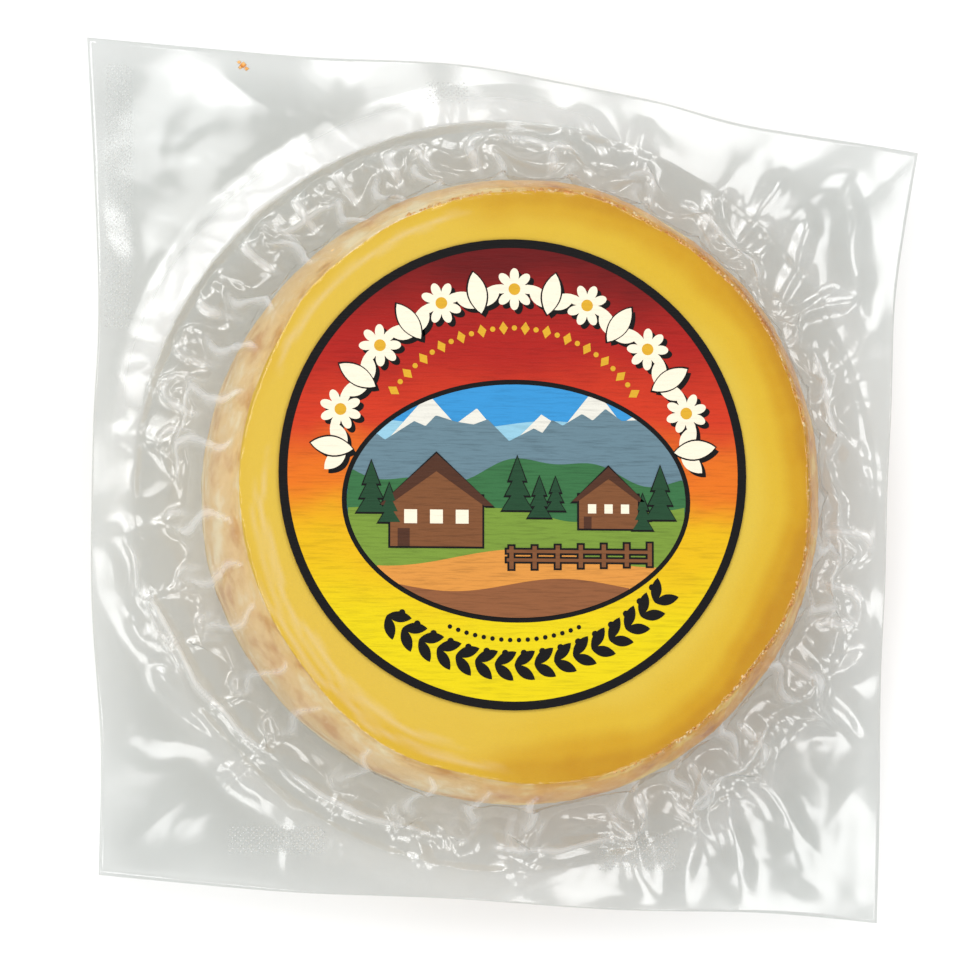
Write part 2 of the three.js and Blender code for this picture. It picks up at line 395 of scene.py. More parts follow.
def film_on_wheel(face, round_, wall, lift_off, direction):
    """Radius and height of the film on the wheel: flat on the cut face, round the cut edge, and straight down
    and out to where it leaves the wall. The nearer the cut, the more it is out of round."""
    turn = round_ * np.pi / 2
    height = PACK_HEIGHT - FILM_EDGE_ROUND * (1 - np.cos(turn)) - wall * (FILM_EDGE_HEIGHT - lift_off)
    to_belly = FILM_EDGE_HEIGHT - np.maximum(lift_off, UPPER_LIFT_OFF)
    down = np.clip((FILM_EDGE_HEIGHT - height) / to_belly, 0, 1)
    face_radius = FACE_START_RADIUS + (FILM_EDGE_RADIUS - FILM_EDGE_ROUND - FACE_START_RADIUS) * face
    radius = face_radius + FILM_EDGE_ROUND * np.sin(turn) + down * (BELLY_RADIUS - FILM_EDGE_RADIUS)
    towards_cut = smoothstep(height, OUT_OF_ROUND_START, CUT_EDGE_HEIGHT)
    return radius * (1 - towards_cut * out_of_round(direction)), height


def upper_film(rows, edge):
    """The upper film without creases. It leaves the wall low in the hollows between two pleats, and high on
    the taut pleats and in the drape. From there it sags to the flange: its height over the flange is a power
    of what is left of the slope. In some cells the slope bulges in a dome. Gives its points, the unit
    direction in which it stands off the wheel, each row's place in its zones, and the painted highlight
    along the taut pleats, as a share of white."""
    direction = np.arctan2(edge[:, 1], edge[:, 0])[None]
    reach = np.hypot(edge[:, 0], edge[:, 1])[None]
    face, round_, wall, slope, flange = film_zones(rows, direction)
    flange = flange**FLANGE_SPACING
    bent = direction + PLEAT_BEND * np.sin(4 * (wall + 2 * slope) + 9 * direction)
    share, span, uneven, own = pleat_cells(bent)
    from_pleat = np.minimum(share, 1 - share) * span
    in_cell = 4 * share * (1 - share)
    hollow = in_cell**HOLLOW_SHARPNESS * np.clip(span / HOLLOW_FULL_SPAN, 0, 1)
    taut = soft_line(from_pleat, TAUT_HALF_WIDTH) * (0.6 + 0.4 * uneven)
    drape = smoothstep(np.cos(direction - np.radians(DRAPE_DIRECTION)), *DRAPE_SPREAD)
    lift_off = UPPER_LIFT_OFF + PLEAT_LIFT * taut - HOLLOW_DROP * hollow + DRAPE_LIFT * drape

    radius, height = film_on_wheel(face, round_, wall, lift_off, direction)
    width = slope_width(direction, reach, uneven, hollow)
    outer = BELLY_RADIUS + width * slope + (reach - BELLY_RADIUS - width) * flange
    foot = flange_height(direction, outer, flange) + FLANGE_THICKNESS / 2
    hollowness = UPPER_SAG + (PLEAT_SAG - UPPER_SAG) * taut - DRAPE_SAG * drape * (1 - taut)
    sag = foot + (lift_off - foot) * (1 - slope) ** hollowness
    sag += DOME_HEIGHT * np.maximum(own, 0) * in_cell * np.sin(np.pi * slope)
    points = to_points(direction, np.where(slope > 0, outer, radius), np.where(slope > 0, sag, height))
    lean = round_ * np.pi / 2 * (1 - slope)
    # painted highlight: white lines along the taut pleats, from the wall to the slope, stronger in the drape
    line_width = TAUT_HALF_WIDTH * (0.4 + 0.6 * wall)
    line = soft_line(from_pleat, line_width) * (0.5 + 0.3 * uneven + 0.35 * drape)
    line = line * smoothstep(wall, 0.1, 0.8 - 0.5 * drape) * (1 - smoothstep(slope, 0.3, 0.8))
    return points, to_points(direction, np.sin(lean), np.cos(lean)), wall, slope, flange, line


def soft_line(across, half_width):
    """1 on a line, and a bell curve beside it."""
    return np.exp(-((across / half_width) ** 2))


def plane_noise(place, size, seed):
    """Smooth random values of about -1 to 1 over a plane. Each corner of a square lattice has a plane with a
    random slope, and between the corners the four planes are blended by the curve 6t^5 - 15t^4 + 10t^3."""
    turns = np.random.default_rng(seed).uniform(0, 2 * np.pi, (LATTICE, LATTICE))
    cell = np.floor(place / size).astype(int)
    share = place / size - cell
    ease = share**3 * (share * (share * 6 - 15) + 10)
    total = 0
    for corner in ((0, 0), (1, 0), (0, 1), (1, 1)):
        turn = turns[tuple(np.moveaxis((cell + corner) % LATTICE, -1, 0))]
        away = share - corner
        plane = away[..., 0] * np.cos(turn) + away[..., 1] * np.sin(turn)
        total = total + plane * np.abs(1 - np.array(corner) - ease).prod(axis=-1)
    return 1.5 * total


def crumpled(place, size, seed):
    """Sharp ridges round hollow patches: 1 less the distance of smooth noise from 0, cubed. The plane under
    the noise is itself bent by noise."""
    bend = np.stack([plane_noise(place, 1.7 * size, seed + k) for k in (1, 2)], axis=-1)
    return (1 - np.minimum(np.abs(plane_noise(place + 0.7 * size * bend, size, seed)), 1)) ** 3


def straight_creases(points):
    """The creases from end to end, each a bell curve across its line that fades out past its ends: how far
    they stand up, and how white they are, partly crease whitening and partly painted highlight."""
    relief = white = 0
    for start, end, half_width, height in CREASES:
        start, end = np.array(start, float), np.array(end, float)
        length = np.hypot(*(end - start))
        way = (end - start) / length
        away = points[..., :2] - start
        along = away @ way
        across = away[..., 0] * way[1] - away[..., 1] * way[0]
        fade = smoothstep(along, -2.5, 1.5) * (1 - smoothstep(along, length - 3.0, length + 3.0))
        relief = np.maximum(relief, 0.6 * height * fade * soft_line(across, 1.3 * half_width))
        white = np.maximum(white, 0.3 * min(height, 1.0) * fade * soft_line(across, CREASE_LINE))
    return relief, white


def ring_creases(points):
    """The creases that run round the wheel, each a bell curve across an arc whose radius changes along it:
    how far they stand up, and how white they are, partly crease whitening and partly painted highlight."""
    radius = np.hypot(points[..., 0], points[..., 1])
    degrees = np.degrees(np.arctan2(points[..., 1], points[..., 0])) % 360
    relief = white = 0
    for start_radius, end_radius, start, end, half_width, height in RING_CREASES:
        share = (degrees - start) / (end - start)
        middle = start_radius + (end_radius - start_radius) * share
        fade = smoothstep(share, 0.0, 0.2) * (1 - smoothstep(share, 0.75, 1.0))
        relief = np.maximum(relief, 0.7 * height * fade * soft_line(radius - middle, 1.2 * half_width))
        white = np.maximum(white, 0.8 * min(height, 1.0) * fade * soft_line(radius - middle, CREASE_LINE))
    return relief, white


def folded(place, size, seed):
    """Flat-sided folds with sharp tops: 1 less the distance of smooth noise from 0, on a plane that is itself
    bent by noise."""
    bend = np.stack([plane_noise(place, 1.5 * size, seed + k) for k in (1, 2)], axis=-1)
    return 1 - np.abs(plane_noise(place + 0.35 * size * bend, size, seed))


def loops(points):
    """The loops round the wheel's foot: the distance from a line that runs out from the wheel at a slant
    makes a finger with a round end. It stands up as a soft bump with a thin ridge along its outline. Also how
    white they are, which is painted highlight: the outline, more so on one side and at the round end."""
    radius = np.hypot(points[..., 0], points[..., 1])
    direction = np.arctan2(points[..., 1], points[..., 0])
    relief = white = 0
    for n, degrees in enumerate(PLEAT_DIRECTIONS):
        uneven = np.sin(n * UNEVEN_STEP + UNEVEN_START)
        twist = np.sin((n + 0.5) * UNEVEN_STEP + UNEVEN_START)
        turn = direction - np.radians(degrees)
        along = radius * np.cos(turn) - LOOP_START
        across = radius * np.sin(turn) - LOOP_SLANT * twist * np.maximum(along, 0)
        across = np.where(np.cos(turn) > 0, across, radius)
        past = np.maximum(along - LOOP_LENGTH * (1 + LOOP_UNEVENNESS * uneven), 0)
        half_width = LOOP_HALF_WIDTH * (1 + LOOP_UNEVENNESS * twist)
        away = np.hypot(across, past) - half_width
        bump = 1 - smoothstep(away, -half_width, LOOP_FOOT)
        height = LOOP_HEIGHT * (1 + 0.3 * uneven)
        relief = np.maximum(relief, height * bump + LOOP_RIDGE * soft_line(away, LOOP_RIDGE_WIDTH))
        outer = smoothstep(along, 0.0, LOOP_LENGTH)
        # painted highlight along each loop's outline, more on one side and at the round end
        one_side = smoothstep(across * np.sign(twist), -half_width, half_width)
        whole = n % 3 == 0 or WHOLE_LOOPS[0] < degrees < WHOLE_LOOPS[1]
        one_side = np.maximum(one_side, 0.75) if whole else one_side
        line = soft_line(away, CREASE_LINE * (0.5 + outer)) * (0.1 + 0.9 * one_side) * (0.35 + 0.65 * outer)
        white = np.maximum(white, (0.8 + 0.2 * uneven) * line)
    broken = np.clip(0.85 + 0.5 * plane_noise(points[..., :2], 3.5, 43), 0.2, 1)
    return relief, white * broken


def gathers(plan, direction, radius, wall, slope, flange):
    """The pleats, loops and creases, on a plan that wanders by noise: how far they stand up, and how white
    they are, which is partly crease whitening and partly painted highlight. They fade out towards a strong
    ring. On the cut face there are only the creases round the wheel."""
    wander = plan + 1.1 * np.stack([plane_noise(plan, 8.0, seed) for seed in (31, 32)], axis=-1)
    rise = np.sin(np.pi / 2 * np.minimum(slope / PLEAT_RISE, 1))
    rise = rise * (1 - np.clip(flange / PLEAT_RUN_OUT, 0, 1)) ** 2
    pleats = rise * pleat_relief(np.arctan2(wander[..., 1], wander[..., 0]), radius)
    looped, loop_white_and_highlight = loops(wander)
    straight, straight_white_and_highlight = straight_creases(wander)
    ringed, ring_white_and_highlight = ring_creases(wander)
    outside = smoothstep(slope, 0.05, 0.4)
    up_wall = smoothstep(wall, 0.1, 1.0)
    on_face = (wall == 0) * 1.0
    relief = np.maximum(0.35 * pleats, looped * up_wall * (0.55 + 0.45 * smoothstep(slope, 0.0, 0.5)))
    relief += outside * straight + np.maximum(outside, on_face) * ringed
    white = np.maximum(loop_white_and_highlight * up_wall * (0.45 + 0.55 * outside), outside * straight_white_and_highlight)
    white = np.maximum(white, np.maximum(outside, 1.6 * on_face) * ring_white_and_highlight)
    at_ring = smoothstep(ring_share(direction), 0.3, 0.8)
    clean = 1 - at_ring * smoothstep(radius, RING_RADIUS - 2.5, RING_RADIUS - 0.8)
    return clean * relief, clean * white


def broad_folds(plan, direction, radius, flange):
    """The broad folds and the swells of the flange. A strong ring holds the folds beside it flat."""
    grown = smoothstep(flange, 0.0, 0.3)
    strength = np.interp(np.degrees(direction), FOLD_DIRECTIONS, FOLD_SHARES, period=360)
    strength = strength * grown * (1 - ring_share(direction) * (1 - smoothstep(radius, 80, 92)))
    relief = 0
    for n, (size, height) in enumerate(FOLDS):
        relief = relief + strength * height * (folded(plan, size, 70 + 10 * n) - FOLD_LEVEL)
    for n, (size, height) in enumerate(SWELLS):
        relief = relief + grown * height * plane_noise(plan, size, 50 + n)
    return relief


def film_relief(smooth, wall, slope, flange):
    """How far the upper film stands off its smooth form: the gathers, crumples round the wheel's foot, and
    the folds and swells of the flange, all less towards the bag's edge, and the film bunched along the cut
    edge. Also how white its creases are, partly crease whitening and partly painted highlight. The crumples
    lie on the film as if it were rolled out flat."""
    direction = np.arctan2(smooth[..., 1], smooth[..., 0])
    radius = np.hypot(smooth[..., 0], smooth[..., 1])
    plan = smooth[..., :2]
    steps = np.linalg.norm(np.diff(smooth, axis=0, prepend=smooth[:1]), axis=-1)
    unrolled = FACE_START_RADIUS + np.cumsum(steps, axis=0)
    laid_flat = np.stack([unrolled * np.cos(direction), unrolled * np.sin(direction)], axis=-1)

    gathered, white = gathers(plan, direction, radius, wall, slope, flange)
    outside = smoothstep(slope, 0.05, 0.4)
    near = smoothstep(slope, 0.15, 0.7) * (1 - smoothstep(radius, 68, 80))
    on_wall = 0.8 * smoothstep(wall, 0.1, 0.8) * (1 - smoothstep(slope, 0.0, 0.3))
    relief = gathered + broad_folds(plan, direction, radius, flange)
    for n, (size, height, far_share) in enumerate(CRUMPLES):
        amount = np.maximum(far_share * outside + (1 - far_share) * near, on_wall)
        relief = relief + amount * height * crumpled(laid_flat, size, 10 * n)
    edge = smoothstep(radius, 51.5, 53.5) * (slope == 0) * (1 - smoothstep(wall, 0.3, 1.0))
    bunched = edge * EDGE_GATHER * (0.5 + 0.5 * plane_noise(laid_flat, 2.4, 41))
    outwards = 1 - 0.8 * smoothstep(flange, 0.5, 1.0)
    relief = np.where(wall > 0, relief * outwards, gathered) + bunched
    return relief, white * (1 - smoothstep(flange, 0.85, 1.0))


def lower_film(upper, direction):
    """The lower film, from the bag's edge in: against the upper film on the flange, then a sagging slope with
    shallow pleats that hang down, the rounded foot and the flat base."""
    first_flange = int(np.ceil(SLOPE_END * (FILM_ROWS - 1))) + 1
    under = upper[first_flange:][::-LOWER_SKIP].copy()
    under[..., 2] -= FLANGE_THICKNESS / 2
    ring = under[-1]
    ring_radius = np.hypot(ring[:, 0], ring[:, 1])[None]
    share = np.linspace(0, 1, LOWER_SLOPE_ROWS + 1)[1:, None]
    radius = ring_radius * (1 - share) + FOOT_RADIUS * share
    sag = LOWER_LIFT_OFF + (ring[:, 2][None] - LOWER_LIFT_OFF) * (1 - share) ** SLOPE_SAG
    hang = LOWER_PLEAT_SHARE * np.sin(np.pi * share) * pleat_relief(direction + 0 * radius, radius)
    angle = np.linspace(0, np.pi / 2, FOOT_ROWS + 1)[1:, None]
    corner = FOOT_RADIUS - BASE_EDGE_ROUND
    foot_radius = corner + BASE_EDGE_ROUND * np.cos(angle) + 0 * direction
    foot_height = BASE_EDGE_ROUND * (1 - np.sin(angle)) + 0 * direction
    base_radius = corner * np.array((0.5, 0.0))[:, None] + 0 * direction
    return np.concatenate([
        under, to_points(direction, radius, sag - hang), to_points(direction, foot_radius, foot_height),
        to_points(direction, base_radius, 0 * base_radius),
    ])


def milk_and_ring_highlight(smooth, wall, slope, flange):
    """How milky the upper film is on the wall and beyond it, and the painted highlight in a band on the outer
    side of the ring.
    """
    direction = np.arctan2(smooth[..., 1], smooth[..., 0])
    past = np.hypot(smooth[..., 0], smooth[..., 1]) - RING_RADIUS
    # painted highlight: the band on the outer side of the ring
    band = smoothstep(past, -0.6, 0.8) * (1 - smoothstep(past, 3.0, 8.0)) * (flange > 0)
    milk = MILK_ON_WALL * smoothstep(wall, 0.0, 0.3) + (MILK - MILK_ON_WALL) * smoothstep(slope, 0.0, 0.4)
    return milk + PAINTED_RING_HIGHLIGHT * ring_share(direction) * band


def over_bag(values, on_top, below, rows):
    """A value for each point of the bag's net: those of the upper film, one for the rows in the middle of the
    cut face before them, and one for the lower film's after them."""
    columns = values.shape[1]
    first = np.full((len(TOP_SHARES), columns), on_top)
    last = np.full((rows - len(first) - len(values), columns), below)
    return np.concatenate([first, values, last])


def film_piece(material):
    """The bag: the upper and the lower film, joined along the bag's edge. Gives the upper film's points."""
    edge = bag_edge(SPOKES_PER_SIDE)
    direction = np.arctan2(edge[:, 1], edge[:, 0])[None]
    smooth, lift, wall, slope, flange, taut_painted_highlight = upper_film(FILM_ROWS, edge)
    relief, white = film_relief(smooth, wall, slope, flange)
    upper = smooth + lift * relief[..., None]
    top = upper[:1] * np.array(TOP_SHARES)[:, None, None]
    top[..., 2] = PACK_HEIGHT
    net = np.concatenate([top, upper, lower_film(upper, direction)])
    piece = closed_net("bag_film", net, material)
    # white of the creases and taut pleats (partly crease whitening, partly painted highlight), and the milk
    # with the painted highlight band at the ring
    crease_white_and_highlight = CREASE_WHITENING_AND_HIGHLIGHT * np.clip((np.maximum(white, taut_painted_highlight) - 0.1) / 0.8, 0, 1)
    milk_and_painted_highlight = np.maximum(crease_white_and_highlight, milk_and_ring_highlight(smooth, wall, slope, flange))
    store(piece, "milk_and_painted_highlight", over_bag(milk_and_painted_highlight, 0.0, MILK_BELOW, len(net)))
    shine = SHINE_ON_WHEEL + (SHINE - SHINE_ON_WHEEL) * smoothstep(wall, 0.2, 1.0)
    store(piece, "shine", over_bag(shine, SHINE_ON_WHEEL, SHINE_BELOW, len(net)))
    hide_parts("vacuum_pack")
    return upper


# The half wheel

WHEEL_COLUMNS = 420
CHEESE_EDGE_ROUND = 0.7
CRUMBS = 900
CRUMBLY = (-75, 115)  # the cut edge is crumbly between these directions, in degrees
STRAY_CRUMBS = ((-51.1, 82.1), (-51.7, 81.5), (-50.6, 81.3), (-51.9, 82.6))  # near the bag's upper edge
STRAY_SIZE = 1.8  # how much larger the stray crumbs are

# Marks of the sealing bars on the film: left, low, right and high of each patch, the step between rows, the
# share of the lozenges that are there, and the reach of a lozenge's corners
HATCH_PATCHES = ((-77.0, 31, -72.6, 82), (-16, 75, -8, 79.5), (-53, -67.5, -35, -62.5), (17, -71, 32, -64))
HATCH_STEP = 1.0
HATCH_SHARE = 0.85
HATCH_REACH = (0.26, 0.26, 0.05)


def wheel_section():
    """Radius and height down the half wheel's section: the flat cut face, its crisp edge, the wall that
    swells to the belly by a quarter of a sine wave, the rounded foot and the flat base."""
    face_radius = np.concatenate([np.linspace(0, 46, 24), np.linspace(47, 53.4, 14)])
    face = np.stack([face_radius, np.full_like(face_radius, PACK_HEIGHT - FILM_GAP)], axis=1)
    turn = np.linspace(0, np.pi / 2, 8)[1:]
    edge = np.stack([
        CUT_RADIUS - 0.2 - CHEESE_EDGE_ROUND + CHEESE_EDGE_ROUND * np.sin(turn),
        PACK_HEIGHT - FILM_GAP - CHEESE_EDGE_ROUND * (1 - np.cos(turn)),
    ], axis=1)
    down = np.linspace(0, 1, 40)[1:]
    top = edge[-1]
    wall_radius = top[0] + (BELLY_RADIUS - FILM_GAP - top[0]) * np.sin(np.minimum(1.9 * down, 1) * np.pi / 2)
    wall = np.stack([wall_radius, top[1] + (BASE_EDGE_ROUND - top[1]) * down], axis=1)
    corner = BELLY_RADIUS - FILM_GAP - BASE_EDGE_ROUND
    angle = np.linspace(0, np.pi / 2, 12)[1:]
    foot = np.stack([
        corner + BASE_EDGE_ROUND * np.cos(angle),
        FILM_GAP + (BASE_EDGE_ROUND - FILM_GAP) * (1 - np.sin(angle)),
    ], axis=1)
    base = np.stack([np.linspace(corner, 0, 12)[1:], np.full(11, FILM_GAP)], axis=1)
    return np.concatenate([face, edge, wall, foot, base])


def grains(name, middle, size, material):
    """Small closed octahedra round the given points, joined in one mesh. Size is the reach of their
    corners."""
    corners = np.array(((1, 0, 0), (0, 1, 0), (-1, 0, 0), (0, -1, 0), (0, 0, 1), (0, 0, -1)), float)
    vertices = (middle[:, None] + corners * size).reshape(-1, 3)
    sides = [(0, 1, 4), (1, 2, 4), (2, 3, 4), (3, 0, 4), (1, 0, 5), (2, 1, 5), (3, 2, 5), (0, 3, 5)]
    faces = (np.arange(len(middle))[:, None, None] * 6 + np.array(sides)).reshape(-1, 3).tolist()
    piece = mesh_piece(name, vertices, faces, material)
    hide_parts("vacuum_pack")
    return piece


def film_top(upper, place):
    """Heights of the upper film at places in plan, each taken from its nearest point of the film."""
    points = upper.reshape(-1, 3)
    return np.array([points[np.argmin(((points[:, :2] - spot) ** 2).sum(axis=1)), 2] for spot in place])


def crumbs_piece(upper, material):
    """Crumbs of rind along the cut edge, under the film, and a few stray crumbs on the film."""
    rng = np.random.default_rng(23)
    direction = np.radians(rng.uniform(*CRUMBLY, CRUMBS))
    radius = rng.uniform(53.5, 54.25, CRUMBS)
    height = PACK_HEIGHT - 0.35 - np.maximum(radius - 53.9, 0) * 1.2 - rng.uniform(0, 0.3, CRUMBS)
    radius *= 1 - out_of_round(direction)
    stray = np.array(STRAY_CRUMBS)
    strays = np.column_stack([stray, film_top(upper, stray) + 0.2])
    middle = np.concatenate([to_points(direction, radius, height), strays])
    size = rng.uniform(0.16, 0.46, (len(middle), 1, 1)) * rng.uniform(0.6, 1.3, (len(middle), 6, 1))
    size[CRUMBS:] *= STRAY_SIZE
    grains("rind_crumbs", middle, size, material)


def hatch_piece(upper, material):
    """The marks of the sealing bars: patches of small flat lozenges in staggered rows on the film."""
    rng = np.random.default_rng(5)
    spots = []
    for left, low, right, high in HATCH_PATCHES:
        across, up = np.meshgrid(np.arange(left, right, HATCH_STEP), np.arange(low, high, HATCH_STEP / 2))
        across = across + HATCH_STEP / 2 * (np.arange(len(up)) % 2)[:, None]
        spots.append(np.stack([across.ravel(), up.ravel()], axis=1))
    place = np.concatenate(spots)
    place = place[rng.uniform(size=len(place)) < HATCH_SHARE]
    middle = np.column_stack([place, film_top(upper, place)])
    size = np.array(HATCH_REACH) + np.zeros((len(place), 6, 1))
    grains("seal_hatch", middle, size, material)


def wheel_piece(material):
    """The half wheel: its section turned about its axis, a little out of round at the cut, with the rind's
    dents and grain pressed in along the section's normals."""
    rng = np.random.default_rng(11)
    section = wheel_section()
    rows = len(section)
    direction = np.linspace(0, 2 * np.pi, WHEEL_COLUMNS, endpoint=False)[None]
    radius = section[:, :1] + 0 * direction
    height = section[:, 1:] + 0 * direction
    towards_cut = smoothstep(height, OUT_OF_ROUND_START, CUT_EDGE_HEIGHT)
    radius *= 1 - towards_cut * out_of_round(direction)
    rind = smoothstep(radius, 52.9, 54.0) * smoothstep(-height, -38.3, -37.7)
    dents = 0.25 * blurred_noise(rng, rows, WHEEL_COLUMNS, (12, 60))
    grain = 0.12 * blurred_noise(rng, rows, WHEEL_COLUMNS, (50, 320))
    radius -= rind * (0.2 + 0.7 * dents + grain)
    saw_marks = 0.03 * blurred_noise(rng, rows, WHEEL_COLUMNS, (10, 40))
    height += saw_marks * (height > PACK_HEIGHT - 1) * (radius < 52)
    piece = closed_net("half_wheel", to_points(direction + 0 * radius, radius, height), material)
    store(piece, "rind", rind)
    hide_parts("vacuum_pack")
    return piece


# The label's print, in millimetres from the label's centre: thin plates, one on the other

LABEL_CENTRE = np.array((-2.8, 2.1))
LABEL_TOP = 38.7
PRINT_STEP = 0.025
PLATE_STEP = 0.002
PLATE_STEPS = 9
PLATE_FOOT = 0.05  # how deep in the paper the plates start
RIM_RADIUS = 43.47
RIM_WIDTH = 1.6
PANEL_MIDDLE = np.array((0.5, -5.0))
PANEL_SIZE = np.array((31.5, 21.5))
PANEL_LINE = 0.9
ORNAMENT_DIRECTIONS = np.linspace(172, 8, 15)
ORNAMENT_RADIUS = 34.2
RIM_SIDES = 144


def ellipse(middle, size, sides=96):
    """Points round an ellipse with the given half axes."""
    turn = np.linspace(0, 2 * np.pi, sides, endpoint=False)
    return np.asarray(middle) + np.stack([np.cos(turn), np.sin(turn)], axis=1) * size


def box_shape(x, y, width, height):
    """A rectangle's corners, from its lower left corner."""
    return np.array(((x, y), (x + width, y), (x + width, y + height), (x, y + height)), float)


def panel_strip(low, high):
    """The part of the picture panel between two heights, each a function of x, cut off at its edge."""
    x = np.linspace(-0.9995, 0.9995, 260) * PANEL_SIZE[0] + PANEL_MIDDLE[0]
    half = PANEL_SIZE[1] * np.sqrt(1 - ((x - PANEL_MIDDLE[0]) / PANEL_SIZE[0]) ** 2)
    floor_, roof = PANEL_MIDDLE[1] - half, PANEL_MIDDLE[1] + half
    bottom = np.clip(low(x), floor_, roof)
    top = np.clip(high(x), bottom, roof)
    shown = np.flatnonzero(top > bottom + 0.02)
    x, bottom, top = (values[shown[0]:shown[-1] + 1] for values in (x, bottom, top))
    return np.concatenate([np.stack([x, bottom], axis=1), np.stack([x, top], axis=1)[::-1]])


def zigzag(corners):
    """Heights along straight lines between corners, as a function of x."""
    xs, ys = np.array(corners, float).T
    return lambda x: np.interp(x, xs, ys)


def wavy(height, *waves):
    """Heights of a rolling line: a height and waves of (height, length, start)."""
    return lambda x: height + sum(a * np.sin(2 * np.pi * x / length + start) for a, length, start in waves)


def leaf(middle, length, half_width, degrees):
    """A pointed leaf: its half width along it is a half sine wave."""
    along = np.linspace(0, 1, 12)
    side = half_width * np.sin(np.pi * along) ** 0.8
    out = np.stack([side, length * along], axis=1)
    back = np.stack([-side, length * along], axis=1)[::-1][1:-1]
    return turned(np.concatenate([out, back]), degrees - 90) + middle


def turned(points, degrees):
    """Points turned about the centre, anticlockwise."""
    turn = np.radians(degrees)
    return points @ np.array(((np.cos(turn), np.sin(turn)), (-np.sin(turn), np.cos(turn))))


def flower(middle, size, petals, degrees):
    """A flower's outline, whose radius swings between its petals' tips and the hollows between them."""
    turn = np.linspace(0, 2 * np.pi, 12 * petals, endpoint=False)
    radius = size * (0.52 + 0.48 * np.abs(np.cos(petals * turn / 2)) ** 0.8)
    points = np.stack([radius * np.cos(turn), radius * np.sin(turn)], axis=1)
    return turned(points, degrees) + middle


def on_arc(radius, degrees):
    """A point at a radius and a direction from the label's centre."""
    turn = np.radians(degrees)
    return radius * np.array((np.cos(turn), np.sin(turn)))


def side_leaves(degrees):
    """Two leaves that fan out from a stalk, standing on the arc of ornaments."""
    foot = on_arc(31.4, degrees)
    return [leaf(foot, 5.6, 1.4, degrees + 52), leaf(foot, 5.6, 1.4, degrees - 52)]


def ornaments():
    """The row of flowers and sprigs over the panel, in turn: the lower shapes, and the middle leaves that
    lie on them."""
    lower, upper = [], []
    for n, degrees in enumerate(ORNAMENT_DIRECTIONS):
        if n % 2:
            lower.append(flower(on_arc(ORNAMENT_RADIUS, degrees), 3.9, 8, degrees))
        else:
            lower.extend(side_leaves(degrees))
            upper.append(leaf(on_arc(30.2, degrees), 7.8, 1.7, degrees))
    return lower, upper


def small_row():
    """The row of small lozenges and dots between the ornaments and the panel."""
    shapes = []
    for n, degrees in enumerate(np.linspace(146, 34, 27)):
        middle = on_arc(27.0, degrees)
        if n % 2:
            shapes.append(ellipse(middle, (0.5, 0.5), 12))
        else:
            shapes.append(turned(ellipse((0, 0), (1.25, 0.85), 4), degrees) + middle)
    return shapes


def garland():
    """The row of dark leaves and berries on the lower arc."""
    shapes = []
    for degrees in np.linspace(228, 318, 16):
        foot = on_arc(35.2, degrees)
        shapes.append(leaf(foot, 4.6, 1.0, degrees + 55))
        shapes.append(leaf(foot, 4.6, 1.0, degrees + 125))
        shapes.append(ellipse(on_arc(33.0, degrees + 3), (0.6, 0.6), 14))
    for degrees in np.linspace(247, 293, 16):
        shapes.append(ellipse(on_arc(30.6, degrees), (0.42, 0.42), 12))
    return shapes


def fir(x, foot, height):
    """A fir tree: three tiers, each narrower and higher than the one below."""
    tiers = []
    for n in range(3):
        low = foot + height * (0.12 + 0.26 * n)
        half = height * (0.27 - 0.06 * n)
        tiers.append(np.array(((x - half, low), (x + half, low), (x, low + 0.42 * height))))
    return tiers


def outlined(shapes, line):
    """Each shape again, larger by a line's width all round, to lie below it."""
    larger = []
    for shape in shapes:
        middle = (shape.min(axis=0) + shape.max(axis=0)) / 2
        half = (shape.max(axis=0) - shape.min(axis=0)) / 2
        larger.append(middle + (shape - middle) * (half + line) / half)
    return larger


def print_plates(name, shapes, layer, material):
    """One mesh of thin plates with the given outlines. They start inside the paper, and each is a little
    higher than the one before, so that plates which overlap have no faces in one plane."""
    vertices, faces = [], []
    for n, shape in enumerate(shapes):
        x, y = shape.T
        if (x * np.roll(y, -1) - y * np.roll(x, -1)).sum() < 0:
            shape = shape[::-1]
        sides = len(shape)
        start = sum(len(part) for part in vertices)
        place = shape + LABEL_CENTRE
        step = n % PLATE_STEPS * PLATE_STEP
        foot = np.column_stack([place, np.full(sides, LABEL_TOP - PLATE_FOOT - step)])
        head = np.column_stack([place, np.full(sides, LABEL_TOP + layer * PRINT_STEP + step)])
        vertices.extend([foot, head])
        here = np.arange(sides)
        beside = (here + 1) % sides
        walls = np.stack([here, beside, beside + sides, here + sides], axis=1) + start
        faces.extend(walls.tolist())
        faces.append((here + sides + start).tolist())
        faces.append((here[::-1] + start).tolist())
    piece = mesh_piece(name, np.vstack(vertices), faces, material, smooth=False)
    return piece


PEAKS = ((-36, 4), (-29, 9), (-24, 5.5), (-16, 14.5), (-11, 9), (-7, 12), (-1, 5), (5, 11), (9, 8.5),
         (15, 16), (20, 9.5), (25, 12.5), (30, 6), (36, 8))
SNOW = ((-36, 3), (-29, 6.6), (-27, 8.2), (-24, 6), (-18.6, 9.5), (-16.5, 8.6), (-14.6, 10.6), (-11, 9.5),
        (-7.6, 9), (-5, 10), (-1, 6), (3.6, 8.4), (5.2, 7.6), (7, 10), (9, 9), (12.6, 11.2), (14.6, 10),
        (17, 12.2), (20, 10), (23.6, 10.2), (26, 9.6), (30, 7), (36, 6))


FIRS = ((-26.5, -8.5, 10), (-23.2, -10, 7.5), (0.5, -8, 10.5), (4.6, -9, 8), (7.6, -7.5, 6.5),
        (27.2, -9.5, 10.5), (23.9, -11, 7))


